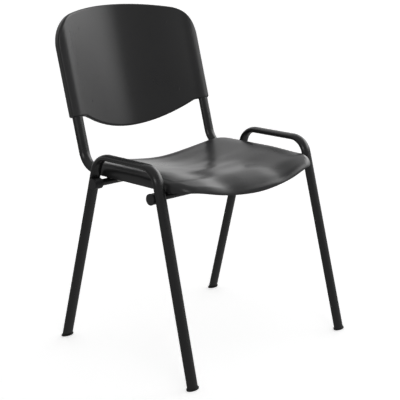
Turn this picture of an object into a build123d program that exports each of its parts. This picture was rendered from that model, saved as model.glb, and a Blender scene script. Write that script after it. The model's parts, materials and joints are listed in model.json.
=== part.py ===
from build123d import *
import math
import os

# A stacking chair: two bent leg frames, two back tubes, two crossbars, a moulded seat and a moulded back.
# Millimetres. X is the sitter's left, -Y is the front, +Z is up; the origin is on the floor under the
# middle of the chair. "Right" is the sitter's right (-X). Right-hand pieces are mirrored to the left.

# ---- oval tube used for the leg frames and back tubes ----
tube_width = 30.0            # across the chair
tube_depth = 15.0
tube_wall = 1.5

# ---- leg frames ----
foot_x = 258.0               # tube centre at the floor
front_foot_y = -279.6
rear_foot_y = 173.9
top_rail_z = 477.5
front_corner_y = -156.2
rear_corner_y = 41.7
leg_bend_radius = 45.0
leg_splay = 1.0              # degrees, the frames lean in towards the top

# ---- feet ----
foot_flange_height = 4.0
foot_flange_lip = 2.0        # past the tube all round
foot_insert_length = 26.0
foot_edge_radius = 1.2
insert_clearance = 0.15
insert_wall = 2.0
flange_reach = 12.0          # of the flange's blank, past the floor both ways

# ---- crossbars and their end caps ----
bar_diameter = 16.0
bar_wall = 1.5
bar_z = 412.0
bar_half_length = 266.0
weld_gap = 0.02              # keeps the solids of welded tubes from sharing volume
cap_radius = 12.7
cap_flange_radius = 13.2
cap_inner_x = 245.0
cap_outer_x = 269.6
cap_flange_thickness = 3.0
cap_groove_width = 1.2
cap_groove_depth = 0.6
cap_edge_radius = 1.4
cap_chamfer = 0.8
cap_mouth = 5.0              # the cap's bore starts this far inside its inner end
cap_clearance = 0.1
leg_clearance = 0.3          # between an end cap and the leg it wraps

# ---- back tubes ----
back_tube_x = 212.0
back_lean = 15.75            # degrees from upright
back_base_y = 166.3          # a point on the tube's centre line at the lower edge of the backrest
back_base_z = 547.9
back_bend_radius = 52.0
rail_front_y = -176.6
upright_in_back = 140.0      # length of tube inside the backrest
rail_plug_flange = 3.0
rail_plug_length = 18.0
rail_plug_floor = 4.0
rail_plug_edge_radius = 1.5

# ---- seat ----
seat_half_width = 232.5
seat_front_y = -239.1
seat_front_side_y = -214.6   # the front edge is bowed: this is where it would meet the sides
seat_rear_y = 122.4
seat_rear_side_y = 115.4
seat_front_corner = 56.0
seat_rear_corner = 48.0
seat_rim_z = 452.5
seat_front_drop = 4.0        # the rim comes down by this towards the front
seat_drop_start_y = -68.6
seat_drop_end_y = -173.6
seat_rim_x = 195.0           # the dish starts inside this
seat_dish_rounding = 0.35
seat_edge_radius = 20.0
seat_wall = 3.0
seat_thickness = 3.5
seat_skirt_z = 425.0
seat_lip_front_z = 398.0
lip_curve = [(60.0, 401.2), (130.0, 411.0), (190.0, 423.5)]   # lower edge of the front lip: (x, z)
rear_lip_depth = 11.0
roll_start_y = -173.6
roll_curvature = 0.0060      # per millimetre
channel_x = 95.0
channel_spread = 44.0
channel_depth = 6.0
channel_start_y = -28.6
channel_full_y = -148.6
tube_notch = 2.5             # gap where the seat's rear corners pass the back tubes

# depth of the dish under the rim, along the middle of the seat: (y, depth)
seat_dish = [(-268.6, 10.0), (-173.6, 11.5), (-108.6, 17.0), (-58.6, 22.0), (-8.6, 25.5),
             (43.4, 27.0), (81.4, 25.5), (119.4, 21.5), (151.4, 20.0)]

# ---- seat fixings ----
seat_screw_ys = (-120.6, 13.4)
screw_tip_depth = 5.5        # of the tips under the seat's surface
screw_tip_chamfer = 1.2
screw_head_round = 1.6
cross_slot = (5.5, 1.1, 3.0)   # length, width, and twice the depth
seat_screw_radius = 2.5
screw_head_radius = 4.75
screw_head_height = 3.0
washer_radius = 7.0
washer_thickness = 1.2
screw_hole_radius = 2.8
boss_radius = 5.5
pilot_radius = 2.6
rail_gap = 0.2               # under the bosses

# ---- backrest ----
back_half_width = 229.8
back_top = 276.0             # up the lean from the base point
back_top_side = 232.0
back_corner_radius = 87.0
scallop_depth = 38.4
scallop_half_width = 184.0
scallop_corner = 20.0
sleeve_corner = 5.0
back_wall = 2.6
back_edge_radius = 4.5
panel_half_width = 195.0
panel_front = 6.5            # front face of the panel at its sides, ahead of the tubes' plane
panel_depth_low = 52.6       # how far the middle is set back, at the base point
panel_depth_slope = -0.020
panel_curve = 1.82           # power of the panel's cross curve
panel_thickness = 10.2
band_x = 214.0
band_rise = 2.4
band_spread = 13.0
rear_bulge = 7.4
rear_bulge_start = 165.0
rear_bulge_end = 200.0
tube_gap = 0.2
tube_end_space = 20.0        # over the tube's end, inside the backrest

# ---- backrest fixings ----
back_screw_s = 22.0
back_screw_radius = 2.0
back_screw_length = 8.0
back_screw_head_radius = 4.0
back_screw_head_height = 2.2
back_screw_head_round = 1.2
back_cross_slot = (4.6, 0.9, 2.2)
screw_clearance = 0.2
post_radius = 3.0
post_gap = 0.2
post_overlap = 1.0           # of the posts into their sockets
socket_radius = 5.2
post_places = [(x, s) for x in (-150.0, -50.0, 50.0, 150.0) for s in (35.0, 215.0)]

far = 800.0                  # larger than the chair, for cutting tools
overlap = 5.0                # by which a cutting tool runs past what it cuts

back_plane = Plane(
    origin=(0, back_base_y, back_base_z),
    x_dir=(1, 0, 0),
    z_dir=(0, -math.cos(math.radians(back_lean)), math.sin(math.radians(back_lean))),
)


# ---------------------------------------------------------------- helpers

def left(shape):
    """The left-hand copy of a right-hand piece."""
    return mirror(shape, about=Plane.YZ)


def oval(grow=0.0):
    """Tube section, grown all round by an amount that may be negative."""
    return Ellipse(tube_width / 2 + grow, tube_depth / 2 + grow)


def oval_sweep(path, grow=0.0):
    """Solid oval bar along a path that lies in a plane of constant X."""
    start = Plane(origin=path @ 0, x_dir=(1, 0, 0), z_dir=path % 0)
    return sweep(start * oval(grow), path=path)


def layer(low, high):
    """Everything between two heights."""
    return Pos(0, 0, (low + high) / 2) * Box(2 * far, 2 * far, high - low)


def cross(size):
    """Cross-shaped recess of a screw head."""
    length, width, depth = size
    return Box(length, width, depth) + Box(width, length, depth)


def smooth_step(value, start, end):
    t = min(max((value - start) / (end - start), 0.0), 1.0)
    return t * t * (3 - 2 * t)


def soft_positive(value, rounding=3.0):
    """The value where it is positive and nearly nothing below, with a rounded corner between."""
    return (value + math.hypot(value, rounding)) / 2


def between(table, value):
    """Smooth reading of a short table of (place, amount)."""
    for (a, low), (b, high) in zip(table, table[1:]):
        if value <= b:
            return low + (high - low) * smooth_step(value, a, b)
    return table[-1][1]


def surface(height, x_range, y_range, columns=27, rows=27):
    """Smooth face z = height(x, y) over a rectangle."""
    xs = [x_range[0] + (x_range[1] - x_range[0]) * i / (columns - 1) for i in range(columns)]
    ys = [y_range[0] + (y_range[1] - y_range[0]) * j / (rows - 1) for j in range(rows)]
    points = [[(x, y, height(x, y)) for x in xs] for y in ys]
    return Face.make_surface_from_array_of_points(points, tol=0.02, min_deg=3, max_deg=5)


# ---------------------------------------------------------------- leg frames and feet

def leg_path():
    """Centre line of a leg frame, upright, running a little below the floor at both ends."""
    below = 30.0
    front_slope = (front_corner_y - front_foot_y) / top_rail_z
    rear_slope = (rear_corner_y - rear_foot_y) / top_rail_z
    points = [
        (0, front_foot_y - below * front_slope, -below),
        (0, front_corner_y, top_rail_z),
        (0, rear_corner_y, top_rail_z),
        (0, rear_foot_y - below * rear_slope, -below),
    ]
    return FilletPolyline(*points, radius=leg_bend_radius)


def right_leg_place():
    return Pos(-foot_x, 0, 0) * Rot(0, leg_splay, 0)


def leg_bar(grow=0.0):
    """The right leg frame as a solid bar, for the frame itself and for what must clear it."""
    return right_leg_place() * oval_sweep(leg_path(), grow)


def leg_frame():
    return (leg_bar() - leg_bar(-tube_wall)) & layer(foot_flange_height, far)


def foot(front):
    """Oval plug with a flange that stands flat on the floor."""
    floor_y = front_foot_y if front else rear_foot_y
    corner_y = front_corner_y if front else rear_corner_y
    up = Vector(0, corner_y - floor_y, top_rail_z).normalized()
    plane = Plane(origin=(0, floor_y, 0), x_dir=(1, 0, 0), z_dir=up)
    place = right_leg_place()
    blank = extrude(plane * oval(foot_flange_lip), amount=flange_reach, both=True)
    flange = (place * blank) & layer(0, foot_flange_height)
    rim = flange.faces().sort_by(Axis.Z)[0].edges()
    flange = fillet(rim, foot_edge_radius)
    insert = extrude(plane * oval(-tube_wall - insert_clearance), amount=foot_insert_length)
    hollow = extrude(
        plane.offset(foot_insert_length / 3) * oval(-tube_wall - insert_clearance - insert_wall),
        amount=foot_insert_length,
    )
    return flange + (place * (insert - hollow) & layer(foot_flange_height / 2, far))


# ---------------------------------------------------------------- crossbars

def bar_y(front):
    """A crossbar touches the inner side of its legs along a line."""
    floor_y = front_foot_y if front else rear_foot_y
    corner_y = front_corner_y if front else rear_corner_y
    slope = (corner_y - floor_y) / top_rail_z
    side = 1 if front else -1
    reach = (tube_depth / 2 + bar_diameter / 2 + weld_gap) * math.hypot(1, slope)
    return floor_y + bar_z * slope + side * reach


def along_x(radius, start, end, y, z):
    """Cylinder between two places on X."""
    return Pos((start + end) / 2, y, z) * Rot(0, 90, 0) * Cylinder(radius, abs(end - start))


def crossbar(front):
    outer = along_x(bar_diameter / 2, -bar_half_length, bar_half_length, bar_y(front), bar_z)
    bore = along_x(bar_diameter / 2 - bar_wall, -bar_half_length, bar_half_length, bar_y(front), bar_z)
    return outer - bore


def crossbar_cap(front):
    """Right-hand knob: closed outside, slotted where the leg passes it."""
    y = bar_y(front)
    flange_x = cap_outer_x - cap_flange_thickness
    body = along_x(cap_radius, -flange_x, -cap_inner_x, y, bar_z)
    body = chamfer(body.edges().sort_by(Axis.X)[-1], cap_chamfer)
    neck = along_x(cap_radius - cap_groove_depth, -flange_x, -flange_x + cap_groove_width, y, bar_z)
    ring = along_x(cap_radius + overlap, -flange_x, -flange_x + cap_groove_width, y, bar_z)
    flange = along_x(cap_flange_radius, -cap_outer_x, -flange_x, y, bar_z)
    flange = fillet(flange.edges().sort_by(Axis.X)[0], cap_edge_radius)
    socket = along_x(bar_diameter / 2 + cap_clearance, -bar_half_length - cap_clearance,
                     -cap_inner_x + cap_mouth, y, bar_z)
    return (body - ring) + neck + flange - socket - leg_bar(leg_clearance)


# ---------------------------------------------------------------- back tubes

def rail_z():
    return bar_z + bar_diameter / 2 + tube_depth / 2


def back_tube_path(extra_front=0.0, upper=upright_in_back):
    """Seat rail, bend and upright, on the chair's middle plane."""
    lean = math.radians(back_lean)
    corner_y = back_base_y - (back_base_z - rail_z()) * math.tan(lean)
    points = [
        (0, rail_front_y - extra_front, rail_z()),
        (0, corner_y, rail_z()),
        (0, back_base_y + upper * math.sin(lean), back_base_z + upper * math.cos(lean)),
    ]
    return FilletPolyline(*points, radius=back_bend_radius)


def back_bar(grow=0.0, extra_front=0.0, upper=upright_in_back):
    return Pos(-back_tube_x, 0, 0) * oval_sweep(back_tube_path(extra_front, upper), grow)


def back_tube():
    tube = back_bar() - back_bar(-tube_wall)
    for y in seat_screw_ys:
        tube -= Pos(-back_tube_x, y, rail_z()) * Cylinder(
            screw_hole_radius, tube_depth + overlap)
    hole = back_plane * Pos(-back_tube_x, back_screw_s, -tube_depth / 2) * Cylinder(
        back_screw_radius + screw_clearance / 2, tube_depth / 2)
    return tube - hole


def rail_plug():
    plane = Plane(origin=(-back_tube_x, rail_front_y, rail_z()), x_dir=(1, 0, 0), z_dir=(0, -1, 0))
    flange = extrude(plane * oval(), amount=rail_plug_flange)
    flange = fillet(flange.faces().sort_by(Axis.Y)[0].edges(), rail_plug_edge_radius)
    insert = extrude(plane * oval(-tube_wall - insert_clearance), amount=-rail_plug_length)
    hollow = extrude(plane.offset(-rail_plug_floor) * oval(-tube_wall - insert_clearance - insert_wall),
                     amount=-rail_plug_length)
    return flange + (insert - hollow)


# ---------------------------------------------------------------- seat

def seat_height(x, y):
    """Top surface of the seat before its edges are rounded."""
    t = abs(x) / seat_rim_x
    c = seat_dish_rounding
    spread = (math.hypot(t, c) - c) / (math.hypot(1, c) - c)
    dip = soft_positive(between(seat_dish, y) * (1 - spread))
    groove = math.exp(-(((abs(x) - channel_x) / channel_spread) ** 2))
    dip += channel_depth * smooth_step(-y, -channel_start_y, -channel_full_y) * groove
    dip += roll_curvature * max(0.0, roll_start_y - y) ** 2
    dip += seat_front_drop * smooth_step(-y, -seat_drop_start_y, -seat_drop_end_y)
    return seat_rim_z - dip


def seat_outline(inset=0.0):
    """Plan of the seat, inset all round."""
    w = seat_half_width - inset
    front = ThreePointArc((-w, seat_front_side_y + inset), (0, seat_front_y + inset),
                          (w, seat_front_side_y + inset))
    rear = ThreePointArc((w, seat_rear_side_y - inset), (0, seat_rear_y - inset),
                         (-w, seat_rear_side_y - inset))
    sides = [Line(front @ 1, rear @ 0), Line(rear @ 1, front @ 0)]
    face = make_face([front, sides[0], rear, sides[1]])
    corners = face.vertices().sort_by(Axis.Y)
    face = fillet(corners[:2], seat_front_corner - inset)
    corners = [v for v in face.vertices() if v.Y > seat_rear_side_y - inset - 1]
    return fillet(corners, seat_rear_corner - inset)


def seat_block(inset, drop, edge_radius):
    """Solid under the seat's top surface, down to well below the skirt."""
    floor_z, depth = 360.0, 200.0
    top = surface(lambda x, y: seat_height(x, y) - drop, (-250, 250), (-258.6, 141.4))
    under = extrude(top, amount=-depth, dir=(0, 0, 1))
    prism = extrude(Pos(0, 0, floor_z) * seat_outline(inset), amount=depth)
    block = prism & under
    rim = [e for e in block.edges() if e.center().Z > seat_lip_front_z and abs(e.tangent_at(0.5).Z) < 0.8]
    return fillet(rim, edge_radius)


def skirt_cutter():
    """Everything below the seat's lower edge."""
    low, wide = 330.0, 250.0
    lip = Spline((0, seat_lip_front_z), *lip_curve, (wide, seat_skirt_z), tangents=[(1, 0), (1, 0)])
    rest = Polyline((wide, seat_skirt_z), (wide, low), (0, low), (0, seat_lip_front_z))
    half = Plane.XZ * make_face([lip, rest])
    front = extrude(half, amount=far, both=True)
    cutter = front + mirror(front, about=Plane.YZ)
    rear = surface(lambda x, y: seat_height(x, y) - rear_lip_depth, (-205, 205), (51.4, 151.4), 15, 7)
    return cutter + extrude(rear, amount=-150, dir=(0, 0, 1))


def seat_shell():
    shell = seat_block(0, 0, seat_edge_radius)
    shell -= seat_block(seat_wall, seat_thickness, seat_edge_radius - seat_wall)
    shell -= skirt_cutter()
    for side in (-1, 1):
        for y in seat_screw_ys:
            low = rail_z() + tube_depth / 2 + rail_gap
            high = seat_height(back_tube_x, y) - seat_thickness / 2
            tip = seat_height(back_tube_x, y) - seat_thickness
            shell += Pos(side * back_tube_x, y, (low + high) / 2) * Cylinder(boss_radius, high - low)
            shell -= Pos(side * back_tube_x, y, low) * Cylinder(pilot_radius, 2 * (tip - low))
    gap = back_bar(tube_notch, 0, -40)
    return shell - gap - left(gap)


# ---------------------------------------------------------------- seat fixings

def seat_screws():
    """Four pan-head screws, up through the rails into the seat's bosses."""
    head_z = rail_z() - tube_depth / 2 - washer_thickness
    solids = []
    for x in (-back_tube_x, back_tube_x):
        for y in seat_screw_ys:
            tip_z = seat_height(x, y) - screw_tip_depth
            head = Pos(x, y, head_z - screw_head_height / 2) * Cylinder(screw_head_radius, screw_head_height)
            head = fillet(head.edges().sort_by(Axis.Z)[0], screw_head_round)
            shank = Pos(x, y, (head_z + tip_z) / 2) * Cylinder(seat_screw_radius, tip_z - head_z)
            shank = chamfer(shank.edges().sort_by(Axis.Z)[-1], screw_tip_chamfer)
            slot = Pos(x, y, head_z - screw_head_height) * cross(cross_slot)
            solids.append(head + shank - slot)
    return Compound(children=[s.solids()[0] for s in solids])


def seat_washers():
    solids = []
    for x in (-back_tube_x, back_tube_x):
        for y in seat_screw_ys:
            z = rail_z() - tube_depth / 2 - washer_thickness / 2
            ring = Cylinder(washer_radius, washer_thickness) - Cylinder(
                seat_screw_radius + screw_clearance, washer_thickness + overlap)
            solids.append(Pos(x, y, z) * ring)
    return Compound(children=[s.solids()[0] for s in solids])


# ---------------------------------------------------------------- backrest

def panel_face(x, s):
    """Front face of the concave panel, ahead of the plane of the tubes."""
    depth = panel_depth_low + panel_depth_slope * s
    t = abs(x) / panel_half_width
    return panel_front - soft_positive(depth * (1 - t ** panel_curve), 2.0)


def rear_swell(x):
    return smooth_step(abs(x), rear_bulge_start, rear_bulge_end)


def back_front(x, s):
    return panel_face(x, s) + band_rise * math.exp(-(((abs(x) - band_x) / band_spread) ** 2))


def back_rear(x, s):
    return panel_face(x, s) - panel_thickness - rear_bulge * rear_swell(x)


def back_split(x, s):
    """Joint between the two mouldings, in the plane of the tubes at the sides."""
    half = panel_thickness / 2
    return panel_face(x, s) - half - (panel_front - half) * rear_swell(x)


def back_outline(inset=0.0):
    """Outline of the backrest in its own plane, inset all round."""
    w = back_half_width - inset
    scallop = scallop_half_width
    top = ThreePointArc((-w, back_top_side - inset), (0, back_top - inset), (w, back_top_side - inset))
    low = ThreePointArc((-scallop, inset), (0, inset - scallop_depth), (scallop, inset))
    edges = [
        top, low,
        Line((w, back_top_side - inset), (w, inset)), Line((w, inset), (scallop, inset)),
        Line((-w, back_top_side - inset), (-w, inset)), Line((-w, inset), (-scallop, inset)),
    ]
    face = make_face(edges)
    upper = [v for v in face.vertices() if v.Y > back_top_side - inset - 1]
    face = fillet(upper, back_corner_radius - inset)
    joints = [v for v in face.vertices() if abs(v.Y - inset) < 0.1 and abs(abs(v.X) - scallop) < 0.1]
    face = fillet(joints, scallop_corner)
    feet = [v for v in face.vertices() if abs(v.Y - inset) < 0.1 and abs(abs(v.X) - w) < 0.1]
    return fillet(feet, sleeve_corner - inset) if inset < sleeve_corner else face


def back_slab(low, high, inset):
    """Solid in the backrest's own frame between two surfaces, inside the outline."""
    x_range, s_range, reach = (-240, 240), (-60, 300), 150
    behind = extrude(surface(high, x_range, s_range, 33, 9), amount=-reach, dir=(0, 0, 1))
    ahead = extrude(surface(low, x_range, s_range, 33, 9), amount=reach, dir=(0, 0, 1))
    prism = extrude(back_outline(inset), amount=reach / 2, both=True)
    return prism & behind & ahead


def outer_edges(slab, face_height):
    """Edges of a slab that lie on one of its two curved faces."""
    return [e for e in slab.edges()
            if all(abs((e @ t).Z - face_height((e @ t).X, (e @ t).Y)) < 0.3 for t in (0.25, 0.5, 0.75))]


def tube_hole():
    """Space of the right back tube inside the backrest, in the backrest's own frame."""
    below = 40.0
    plane = Plane(origin=(-back_tube_x, -below, 0), x_dir=(1, 0, 0), z_dir=(0, 1, 0))
    return extrude(plane * oval(tube_gap), amount=below + upright_in_back + tube_end_space)


def back_front_shell():
    slab = back_slab(back_split, back_front, 0)
    slab = fillet(outer_edges(slab, back_front), back_edge_radius)
    inside = back_slab(lambda x, s: back_split(x, s) - overlap,
                       lambda x, s: back_front(x, s) - back_wall, back_wall)
    shell = slab - inside
    for x, s in post_places:
        seam, front = back_split(x, s), back_front(x, s) - back_wall / 2
        shell += Pos(x, s, (seam + front) / 2) * (
            Cylinder(socket_radius, front - seam) - Cylinder(post_radius + post_gap, front - seam))
    return finish_back_shell(shell)


def back_rear_cover():
    slab = back_slab(back_rear, back_split, 0)
    slab = fillet(outer_edges(slab, back_rear), back_edge_radius)
    inside = back_slab(lambda x, s: back_rear(x, s) + back_wall,
                       lambda x, s: back_split(x, s) + overlap, back_wall)
    cover = slab - inside
    for x, s in post_places:
        rear, tip = back_rear(x, s) + back_wall / 2, back_split(x, s) + post_overlap
        cover += Pos(x, s, (rear + tip) / 2) * Cylinder(post_radius, tip - rear)
    seat = back_rear(back_tube_x, back_screw_s)
    for side in (-1, 1):
        place = Pos(side * back_tube_x, back_screw_s, seat)
        cover -= place * Cylinder(back_screw_radius + screw_clearance, back_screw_length)
        cover -= place * Pos(0, 0, -overlap / 2) * Cylinder(back_screw_head_radius + screw_clearance, overlap)
    return finish_back_shell(cover)


def finish_back_shell(shell):
    hole = tube_hole()
    return back_plane * (shell - hole - left(hole))


def back_screws():
    """Two pan-head screws through the rear cover into the back tubes."""
    solids = []
    for x in (-back_tube_x, back_tube_x):
        seat = back_rear(x, back_screw_s)
        head = Pos(x, back_screw_s, seat - back_screw_head_height / 2) * Cylinder(
            back_screw_head_radius, back_screw_head_height)
        head = fillet(head.edges().sort_by(Axis.Z)[0], back_screw_head_round)
        shank = Pos(x, back_screw_s, seat + back_screw_length / 2) * Cylinder(
            back_screw_radius, back_screw_length)
        slot = Pos(x, back_screw_s, seat - back_screw_head_height) * cross(back_cross_slot)
        solids.append(back_plane * (head + shank - slot))
    return Compound(children=[s.solids()[0] for s in solids])


# ---------------------------------------------------------------- all pieces

def paired(name, shape):
    """A right-hand piece and its mirrored left-hand twin."""
    return {f"right_{name}": shape, f"left_{name}": left(shape)}


def chair():
    nodes = {}
    nodes.update(paired("leg_frame", leg_frame()))
    nodes.update(paired("back_tube", back_tube()))
    nodes.update(paired("rail_plug", rail_plug()))
    for end, front in (("front", True), ("rear", False)):
        nodes[f"{end}_crossbar"] = crossbar(front)
        nodes.update(paired(f"{end}_crossbar_cap", crossbar_cap(front)))
        nodes.update(paired(f"{end}_foot", foot(front)))
    nodes["seat_shell"] = seat_shell()
    nodes["seat_screws"] = seat_screws()
    nodes["seat_washers"] = seat_washers()
    nodes["backrest_front_shell"] = back_front_shell()
    nodes["backrest_rear_cover"] = back_rear_cover()
    nodes["backrest_screws"] = back_screws()
    return nodes


os.makedirs("parts", exist_ok=True)
for node, shape in chair().items():
    export_step(shape, f"parts/{node}.step")
    print(node, round(shape.volume), shape.bounding_box().size)
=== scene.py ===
import json
import math

import bmesh
import bpy
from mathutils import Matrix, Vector


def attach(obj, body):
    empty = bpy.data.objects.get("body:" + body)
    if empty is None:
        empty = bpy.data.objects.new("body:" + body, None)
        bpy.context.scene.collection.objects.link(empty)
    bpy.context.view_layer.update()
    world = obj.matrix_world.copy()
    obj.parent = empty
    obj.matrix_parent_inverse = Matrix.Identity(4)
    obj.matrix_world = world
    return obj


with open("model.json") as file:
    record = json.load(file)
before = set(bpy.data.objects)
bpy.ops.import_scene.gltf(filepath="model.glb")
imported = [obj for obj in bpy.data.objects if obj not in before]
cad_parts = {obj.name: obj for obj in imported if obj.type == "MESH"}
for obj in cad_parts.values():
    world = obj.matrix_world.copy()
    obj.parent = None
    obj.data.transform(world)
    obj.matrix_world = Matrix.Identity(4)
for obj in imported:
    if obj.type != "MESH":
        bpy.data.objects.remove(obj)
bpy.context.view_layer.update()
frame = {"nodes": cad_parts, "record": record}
nodes = frame["nodes"]
print("frame loaded:", len(nodes), "nodes")


# Selecting and finishing, shared by the modelled pieces.

def deselectAll():
    if bpy.context.object and bpy.context.object.mode != "OBJECT":
        bpy.ops.object.mode_set(mode="OBJECT")
    bpy.ops.object.select_all(action="DESELECT")


def openMesh(obj):  # into edit mode with nothing selected
    deselectAll()
    bpy.context.view_layer.objects.active = obj
    obj.select_set(True)
    bpy.ops.object.mode_set(mode="EDIT")
    bpy.ops.mesh.select_all(action="DESELECT")
    return bmesh.from_edit_mesh(obj.data)


def closeMesh():
    bpy.ops.object.mode_set(mode="OBJECT")


def applyModifiers(obj):
    deselectAll()
    bpy.context.view_layer.objects.active = obj
    obj.select_set(True)
    for modifier in list(obj.modifiers):
        bpy.ops.object.modifier_apply(modifier=modifier.name)


def applyPlace(obj):  # the object goes to the origin and its place into its mesh
    deselectAll()
    bpy.context.view_layer.objects.active = obj
    obj.select_set(True)
    bpy.ops.object.transform_apply(location=True, rotation=True, scale=True)


def smoothShade(obj, degrees=40):
    deselectAll()
    bpy.context.view_layer.objects.active = obj
    obj.select_set(True)
    bpy.ops.object.shade_smooth_by_angle(angle=math.radians(degrees))


class Wire:  # a socket of a node tree that takes part in sums
    def __init__(self, tree, socket=None):
        self.tree = tree
        self.socket = socket

    def node(self, kind, settings=None, inputs=None, output=0):
        made = self.tree.nodes.new(kind)
        for key, value in (settings or {}).items():
            if key == "stops":
                ramp = made.color_ramp
                while len(ramp.elements) < len(value):
                    ramp.elements.new(0.5)
                for element, (place, colour) in zip(ramp.elements, value):
                    element.position = place
                    element.color = colour
            else:
                setattr(made, key, value)
        for key, value in (inputs or {}).items():
            if isinstance(value, Wire):
                self.tree.links.new(value.socket, made.inputs[key])
            else:
                made.inputs[key].default_value = value
        return Wire(self.tree, made.outputs[output])

    def sum(self, operation, first, second):
        return self.node("ShaderNodeMath", {"operation": operation}, {0: first, 1: second})

    def __add__(self, other):
        return self.sum("ADD", self, other)

    def __radd__(self, other):
        return self.sum("ADD", other, self)

    def __sub__(self, other):
        return self.sum("SUBTRACT", self, other)

    def __rsub__(self, other):
        return self.sum("SUBTRACT", other, self)

    def __mul__(self, other):
        return self.sum("MULTIPLY", self, other)

    def __rmul__(self, other):
        return self.sum("MULTIPLY", other, self)


def newMaterial(name, base):  # returns the material, its start wire and its shader node
    material = bpy.data.materials.new(name)
    material.use_nodes = True
    tree = material.node_tree
    shader = next(n for n in tree.nodes if n.type == "BSDF_PRINCIPLED")
    for socket, value in base.items():
        shader.inputs[socket].default_value = value
    return material, Wire(tree), shader


def feed(shader, socket, wire):
    wire.tree.links.new(wire.socket, shader.inputs[socket])


def noise(start, place, scale, detail=3.0, rough=0.55):
    return start.node("ShaderNodeTexNoise", {}, {
        "Vector": place, "Scale": scale, "Detail": detail, "Roughness": rough})


def fade(start, value, low, high, lowOut=0.0, highOut=1.0):  # smooth change between two readings
    return start.node("ShaderNodeMapRange", {"interpolation_type": "SMOOTHSTEP"}, {
        "Value": value, "From Min": low, "From Max": high, "To Min": lowOut, "To Max": highOut})


def blendColour(start, amount, first, second):
    return start.node("ShaderNodeMix", {"data_type": "RGBA"}, {
        "Factor": amount, 6: first, 7: second}, 2)


def bump(start, shader, height, strength, distance):
    made = start.node("ShaderNodeBump", {}, {
        "Height": height, "Strength": strength, "Distance": distance})
    feed(shader, "Normal", made)


# Moulded shell plastic, for the seat and the backrest.

shellLook = {
    "colour": (0.030, 0.030, 0.031, 1),
    # paler colour for the scuffs, also used for the painted highlight on the rim
    "wornAndSheenColour": (0.055, 0.055, 0.057, 1),
    "roughness": 0.30,
    "specular": 0.55,
    "grainPerMetre": 900,
    "grainHeight": 0.00006,
    "grainStrength": 0.35,
    "grainGloss": 0.12,   # how much the grain changes the roughness
    "cloudPerMetre": 9.0,
    "cloudColour": 0.25,
    "cloudGloss": 0.10,
    "scuffs": 0.35,
    "scuffPerMetre": 90.0,
    "scuffTurn": (0.3, 0.2, 0.7),
    "scuffStretch": (1.0, 7.0, 1.0),
    "scuffRange": (0.62, 0.74),
    "scuffGloss": 0.15,
    "patchPerMetre": 5.0,
    "patchRange": (0.48, 0.62),
    "paintedSheenHeights": (0.44, 0.455),   # painted highlight: the seat's rim, and all of the shell above it, is painted a little paler
    "paintedSheenPaleness": 0.06,
}


def shellMaterial():
    look = shellLook
    material, start, shader = newMaterial("mouldedShellPlastic", {"Specular IOR Level": look["specular"]})
    place = start.node("ShaderNodeTexCoord", {}, {}, "Object")
    height = start.node("ShaderNodeSeparateXYZ", {}, {"Vector": place}, "Z")
    grain = noise(start, place, look["grainPerMetre"], 2.0, 0.6)
    cloud = noise(start, place, look["cloudPerMetre"])
    scuffPlace = start.node("ShaderNodeMapping", {}, {
        "Vector": place, "Rotation": look["scuffTurn"], "Scale": look["scuffStretch"]})
    scratches = fade(start, noise(start, scuffPlace, look["scuffPerMetre"], 4.0, 0.7), *look["scuffRange"])
    patches = fade(start, noise(start, place, look["patchPerMetre"], 2.0), *look["patchRange"])
    worn = scratches * patches * look["scuffs"]
    # painted highlight: the shell is painted paler from the rim's height up, standing in for the sheen the
    # light puts on the seat's rim
    paintedSheen = fade(start, height, *look["paintedSheenHeights"], 0.0, look["paintedSheenPaleness"])
    mottleAndPaintedSheen = worn + (cloud - 0.5) * look["cloudColour"] + paintedSheen
    feed(shader, "Base Color", blendColour(start, mottleAndPaintedSheen, look["colour"], look["wornAndSheenColour"]))
    gloss = look["roughness"] + (cloud - 0.5) * look["cloudGloss"] + (grain - 0.5) * look["grainGloss"]
    feed(shader, "Roughness", gloss + worn * look["scuffGloss"])
    bump(start, shader, grain + worn * 0.5, look["grainStrength"], look["grainHeight"])
    return material


# Powder coat on the steel tubes.

coatLook = {
    "colour": (0.013, 0.013, 0.0135, 1),
    "rubbedColour": (0.050, 0.050, 0.052, 1),
    "roughness": 0.27,
    "specular": 0.6,
    "peelPerMetre": 420,
    "peelHeight": 0.00005,
    "peelStrength": 0.30,
    "dustPerMetre": 1600.0,
    "dustHeight": 0.15,   # against the peel's
    "cloudPerMetre": 14.0,
    "cloudGloss": 0.10,
    "rubbing": 0.5,
    "rubbedPerMetre": 160.0,
    "rubbedTurn": (0.5, 0.1, 0.4),
    "rubbedStretch": (1.0, 1.0, 0.18),
    "rubbedRange": (0.60, 0.75),
    "rubbedGloss": 0.25,
    "rubbedAtEnds": 0.8,   # near the floor and on the side rails
    "rubbedElsewhere": 0.35,
    "elsewhereRange": (0.55, 0.75),
    "nearFloorHeight": 0.09,
    "nearFloorGloss": 0.06,
    "railRises": (0.474, 0.486),
    "railEnds": (0.50, 0.49),
}


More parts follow.
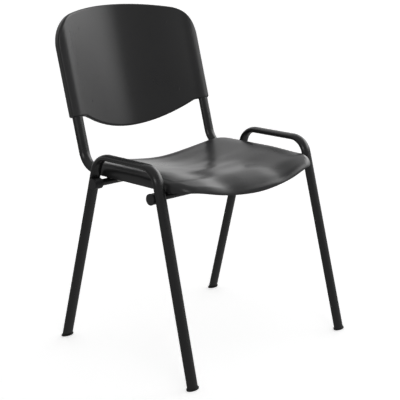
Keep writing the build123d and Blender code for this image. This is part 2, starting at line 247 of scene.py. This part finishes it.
def coatMaterial():
    look = coatLook
    material, start, shader = newMaterial("blackPowderCoat", {"Specular IOR Level": look["specular"]})
    place = start.node("ShaderNodeTexCoord", {}, {}, "Object")
    height = start.node("ShaderNodeSeparateXYZ", {}, {"Vector": place}, "Z")
    peel = noise(start, place, look["peelPerMetre"], 1.5, 0.45)
    dust = noise(start, place, look["dustPerMetre"], 1.0)
    cloud = noise(start, place, look["cloudPerMetre"])
    nearFloor = fade(start, height, look["nearFloorHeight"], 0.0)
    topRail = fade(start, height, *look["railRises"]) * fade(start, height, *look["railEnds"])
    marks = start.node("ShaderNodeMapping", {}, {
        "Vector": place, "Rotation": look["rubbedTurn"], "Scale": look["rubbedStretch"]})
    scratches = fade(start, noise(start, marks, look["rubbedPerMetre"], 4.0, 0.65), *look["rubbedRange"])
    ends = nearFloor * look["rubbedAtEnds"] + topRail * look["rubbedAtEnds"]
    elsewhere = fade(start, cloud, *look["elsewhereRange"]) * look["rubbedElsewhere"]
    rubbed = scratches * look["rubbing"] * (ends + elsewhere)
    feed(shader, "Base Color", blendColour(start, rubbed, look["colour"], look["rubbedColour"]))
    gloss = look["roughness"] + (cloud - 0.5) * look["cloudGloss"]
    feed(shader, "Roughness", gloss + rubbed * look["rubbedGloss"] + nearFloor * look["nearFloorGloss"])
    bump(start, shader, peel + dust * look["dustHeight"], look["peelStrength"], look["peelHeight"])
    return material


# Small black mouldings: end caps, rail plugs and feet.

capLook = {
    "colour": (0.014, 0.014, 0.015, 1),
    "specular": 0.5,
    "roughness": 0.42,
    "grainPerMetre": 1400,
    "grainStrength": 0.4,
    "grainHeight": 0.00005,
    "cloudPerMetre": 60.0,
    "cloudRange": (0.45, 0.75),
    "cloudShare": 0.5,
    "cloudPaleness": 2.4,
    "cloudGloss": 0.2,
}
footLook = {
    "colour": (0.012, 0.012, 0.012, 1),
    "dust": (0.10, 0.095, 0.09, 1),
    "dustiness": 0.7,
    "dustGloss": 0.3,
    "specular": 0.45,
    "roughness": 0.52,
    "grainPerMetre": 1100.0,
    "grainStrength": 0.4,
    "grainHeight": 0.00006,
    "patchPerMetre": 150.0,
    "patchRange": (0.45, 0.70),
    "patchHeight": 0.6,   # against the grain's
    "scuffHeight": 0.006,
}


def capMaterial():
    look = capLook
    material, start, shader = newMaterial("mouldedCapPlastic", {"Specular IOR Level": look["specular"]})
    place = start.node("ShaderNodeTexCoord", {}, {}, "Object")
    grain = noise(start, place, look["grainPerMetre"], 2.0)
    cloud = noise(start, place, look["cloudPerMetre"])
    paler = tuple(channel * look["cloudPaleness"] for channel in look["colour"][:3]) + (1,)
    clouded = fade(start, cloud, *look["cloudRange"], 0.0, look["cloudShare"])
    feed(shader, "Base Color", blendColour(start, clouded, look["colour"], paler))
    feed(shader, "Roughness", look["roughness"] + (cloud - 0.5) * look["cloudGloss"])
    bump(start, shader, grain, look["grainStrength"], look["grainHeight"])
    return material


def footMaterial():
    look = footLook
    material, start, shader = newMaterial("scuffedFootPlastic", {"Specular IOR Level": look["specular"]})
    place = start.node("ShaderNodeTexCoord", {}, {}, "Object")
    height = start.node("ShaderNodeSeparateXYZ", {}, {"Vector": place}, "Z")
    grain = noise(start, place, look["grainPerMetre"])
    patches = fade(start, noise(start, place, look["patchPerMetre"], 4.0, 0.7), *look["patchRange"])
    dusty = patches * fade(start, height, look["scuffHeight"], 0.0) * look["dustiness"]
    feed(shader, "Base Color", blendColour(start, dusty, look["colour"], look["dust"]))
    feed(shader, "Roughness", look["roughness"] + dusty * look["dustGloss"])
    bump(start, shader, grain + patches * look["patchHeight"], look["grainStrength"], look["grainHeight"])
    return material


# Zinc-plated screws and washers.

zincLook = {
    "colour": (0.42, 0.42, 0.43, 1),
    "tint": (0.48, 0.45, 0.36, 1),
    "tintShare": 0.6,
    "tintRange": (0.4, 0.7),
    "cloudPerMetre": 220.0,
    "cloudGloss": 0.2,
    "roughness": 0.32,
    "turningPerMetre": 2500.0,
    "turningStrength": 0.25,
    "turningHeight": 0.00003,
}


def zincMaterial():
    look = zincLook
    material, start, shader = newMaterial("zincPlatedSteel", {"Metallic": 1.0})
    place = start.node("ShaderNodeTexCoord", {}, {}, "Object")
    cloud = noise(start, place, look["cloudPerMetre"])
    turning = noise(start, place, look["turningPerMetre"], 1.0)
    tinted = fade(start, cloud, *look["tintRange"], 0.0, look["tintShare"])
    feed(shader, "Base Color", blendColour(start, tinted, look["colour"], look["tint"]))
    feed(shader, "Roughness", look["roughness"] + (cloud - 0.5) * look["cloudGloss"])
    bump(start, shader, turning, look["turningStrength"], look["turningHeight"])
    return material


finishes = {
    "frame_tube": coatMaterial(),
    "end_cap": capMaterial(),
    "foot": footMaterial(),
    "shell_plastic": shellMaterial(),
    "fastener": zincMaterial(),
}
for subpart in frame["record"]["subparts"]:
    obj = nodes[subpart["node"]]
    for holder in obj.material_slots:
        holder.material = finishes[subpart["material_slot"]]


# Weld beads where the seat rails sit on the crossbars, metres and degrees.

beadLook = {
    "length": 0.018,
    "radius": 0.0023,
    "sides": 12,
    "rings": 17,
    "ripple": 1.10,   # swelling of every second ring
    "taper": 0.6,     # size of the ends against the middle
    "endRounding": 0.0008,
    "leanings": (-36, 36),   # round the crossbar from its top
    "lift": 0.0023 / 3,
    "crossbarDepths": (-0.1571, 0.0437),
    "crossbarHeight": 0.412,
    "crossbarRadius": 0.008,
    "railCentre": 0.212,
}


def modelBead():
    look = beadLook
    deselectAll()
    bpy.ops.mesh.primitive_cylinder_add(vertices=look["sides"], radius=look["radius"], depth=look["length"])
    bead = bpy.context.object
    bead.name = "weldBead"
    mesh = openMesh(bead)
    for edge in mesh.edges:
        start, end = edge.verts
        edge.select_set(abs(start.co.z - end.co.z) > look["length"] / 2)
    bmesh.update_edit_mesh(bead.data)
    bpy.ops.mesh.subdivide(number_cuts=look["rings"])
    spacing = look["length"] / (look["rings"] + 1)
    for ring in range(look["rings"] + 2):
        ringHeight = ring * spacing - look["length"] / 2
        mesh = bmesh.from_edit_mesh(bead.data)
        for corner in mesh.verts:
            corner.select_set(abs(corner.co.z - ringHeight) < spacing / 4)
        mesh.select_flush_mode()
        bmesh.update_edit_mesh(bead.data)
        fromMiddle = abs(2 * ringHeight / look["length"])
        size = 1 - (1 - look["taper"]) * fromMiddle ** 4
        size *= look["ripple"] if ring % 2 else 1
        bpy.ops.transform.resize(value=(size, size, 1), center_override=(0, 0, ringHeight))
    closeMesh()
    rounding = bead.modifiers.new("roundedEnds", "BEVEL")
    rounding.width = look["endRounding"]
    rounding.segments = 3
    rounding.limit_method = "ANGLE"
    rounding.angle_limit = math.radians(60)
    applyModifiers(bead)
    smoothShade(bead)
    bead.data.materials.append(finishes["frame_tube"])
    return bead


def placeBead(bead, name, place):
    made = bead.copy()
    made.data = bead.data.copy()
    made.name = name
    bpy.context.scene.collection.objects.link(made)
    made.location = place
    made.rotation_euler = (0, math.radians(90), 0)
    applyPlace(made)
    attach(made, "root")


def addBeads():
    look = beadLook
    bead = modelBead()
    count = 0
    for crossbarDepth in look["crossbarDepths"]:
        for side in (-1, 1):
            for leaning in look["leanings"]:
                angle = math.radians(leaning)
                across = side * look["railCentre"]
                along = crossbarDepth + look["crossbarRadius"] * math.sin(angle)
                up = look["crossbarHeight"] + look["crossbarRadius"] * math.cos(angle) + look["lift"]
                count += 1
                placeBead(bead, f"railWeld{count}", (across, along, up))
    bpy.data.objects.remove(bead)
    print("weld beads:", count)


addBeads()


# Floor, light and camera. Lights and heights are read along unit directions.

studio = {
    "floorSize": 60.0,
    "floorColour": (0.90, 0.90, 0.90, 1),
    "floorGlow": 0.62,
    "floorRoughness": 0.7,
    "floorMottle": 0.985,   # share of the floor's colour in its duller spots
    "floorMottlePerMetre": 3.0,
    "behind": (0.64, 0.77, 0.0),   # where the bright wall of the room lies
    "wallWidth": (0.30, 0.75),   # cosines between which the wall fades in
    "wallLight": 1.25,
    "upperWallLight": 0.65,
    "frontLight": 0.27,
    "upperWallHeights": (0.10, 0.28),
    "overheadLight": 0.40,
    "overheadHeights": (0.62, 0.95),
    "belowLight": 0.30,
    "belowHeights": (-0.12, 0.02),
    "window": (0.999, -0.035, 0.0),   # where the wide window lies, on the sitter's left
    "windowWidth": (0.68, 0.87),   # the window fades in between these cosines
    "windowSill": (0.13, 0.26),
    "windowTop": (0.56, 0.66),
    "windowLight": 2.9,
    # place, point it looks at, width, height, watts
    "lamps": [
        ((-1.4, -3.2, 2.6), (0.0, 0.0, 0.5), 1.6, 1.2, 14.0),
    ],
}

cameraFacts = {
    "place": (-1.7352, -1.8163, 0.9844),
    "tilt": 76.49,   # degrees from straight down
    "turn": -44.67,
    "lens": 93.85,
    "shift": (-0.0158, -0.0461),
}

deselectAll()
bpy.ops.mesh.primitive_plane_add(size=studio["floorSize"], location=(0, 0, 0))
floor = bpy.context.object
floor.name = "paleFloor"
floorMaterial, floorStart, floorShader = newMaterial("paleFloor", {
    "Roughness": studio["floorRoughness"]})
floorPlace = floorStart.node("ShaderNodeTexCoord", {}, {}, "Object")
mottle = noise(floorStart, floorPlace, studio["floorMottlePerMetre"], 2.0)
duller = tuple(channel * studio["floorMottle"] for channel in studio["floorColour"][:3]) + (1,)
feed(floorShader, "Base Color", blendColour(floorStart, mottle, studio["floorColour"], duller))
floorShader.inputs["Emission Color"].default_value = studio["floorColour"]
floorShader.inputs["Emission Strength"].default_value = studio["floorGlow"]
floor.data.materials.append(floorMaterial)
floor.visible_diffuse = False
floor.visible_glossy = False

world = bpy.data.worlds.new("studioWorld")
world.use_nodes = True
background = world.node_tree.nodes["Background"]
background.inputs["Color"].default_value = (1, 1, 1, 1)
sky = Wire(world.node_tree)
way = sky.node("ShaderNodeTexCoord", {}, {}, "Generated")
height = sky.node("ShaderNodeSeparateXYZ", {}, {"Vector": way}, "Z")
towards = sky.node("ShaderNodeVectorMath", {"operation": "DOT_PRODUCT"}, {
    0: way, 1: studio["behind"]}, "Value")
facing = studio["wallWidth"]
level = fade(sky, towards, *facing, studio["frontLight"], studio["wallLight"])
upperLevel = fade(sky, towards, *facing, studio["frontLight"], studio["upperWallLight"])
upper = fade(sky, height, *studio["upperWallHeights"])
level = level * (1 - upper) + upperLevel * upper
sideways = sky.node("ShaderNodeVectorMath", {"operation": "DOT_PRODUCT"}, {
    0: way, 1: studio["window"]}, "Value")
window = fade(sky, sideways, *studio["windowWidth"]) * fade(sky, height, *studio["windowSill"])
window = window * (1 - fade(sky, height, *studio["windowTop"]))
level = level * (1 - window) + window * studio["windowLight"]
overhead = fade(sky, height, *studio["overheadHeights"])
level = level * (1 - overhead) + overhead * studio["overheadLight"]
above = fade(sky, height, *studio["belowHeights"])
level = level * above + (1 - above) * studio["belowLight"]
world.node_tree.links.new(level.socket, background.inputs["Strength"])
bpy.context.scene.world = world


def addLamp(place, target, width, height, watts):
    data = bpy.data.lights.new("softbox", "AREA")
    data.shape = "RECTANGLE"
    data.size = width
    data.size_y = height
    data.energy = watts
    lamp = bpy.data.objects.new("softbox", data)
    lamp.location = place
    lamp.rotation_euler = (Vector(target) - Vector(place)).to_track_quat("-Z", "Y").to_euler()
    bpy.context.scene.collection.objects.link(lamp)


for lampFacts in studio["lamps"]:
    addLamp(*lampFacts)

cameraData = bpy.data.cameras.new("camera")
cameraData.lens = cameraFacts["lens"]
cameraData.shift_x, cameraData.shift_y = cameraFacts["shift"]
camera = bpy.data.objects.new("camera", cameraData)
camera.location = cameraFacts["place"]
camera.rotation_euler = (math.radians(cameraFacts["tilt"]), 0, math.radians(cameraFacts["turn"]))
bpy.context.scene.collection.objects.link(camera)
bpy.context.scene.camera = camera
bpy.context.scene.view_settings.view_transform = "Standard"
print("floor, lights and camera placed")

bpy.context.view_layer.update()
